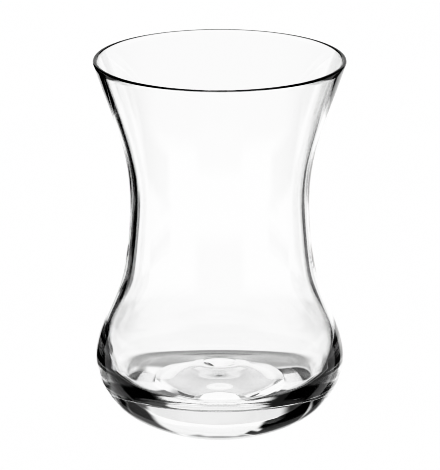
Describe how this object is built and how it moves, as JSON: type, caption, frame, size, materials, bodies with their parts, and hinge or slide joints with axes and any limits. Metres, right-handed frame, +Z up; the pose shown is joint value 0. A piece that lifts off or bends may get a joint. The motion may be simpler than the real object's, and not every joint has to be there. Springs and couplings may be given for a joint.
{
  "type": "tea glass",
  "caption": "Clear tulip-waisted tea glass with a flared mouth, a narrow waist, a rounded bulb and a thick bottom, for drinking hot tea.",
  "frame": {"origin": "On the glass's axis, in the plane that the foot stands on.", "axes": "+Z up along the axis of the glass. The glass is round, so X and Y are alike."},
  "size_m": [0.0604, 0.0604, 0.09],
  "materials": {
    "clear_glass": "polished clear colourless glass"
  },
  "bodies": {
    "root": {"glass": "clear_glass"}
  },
  "joints": []
}
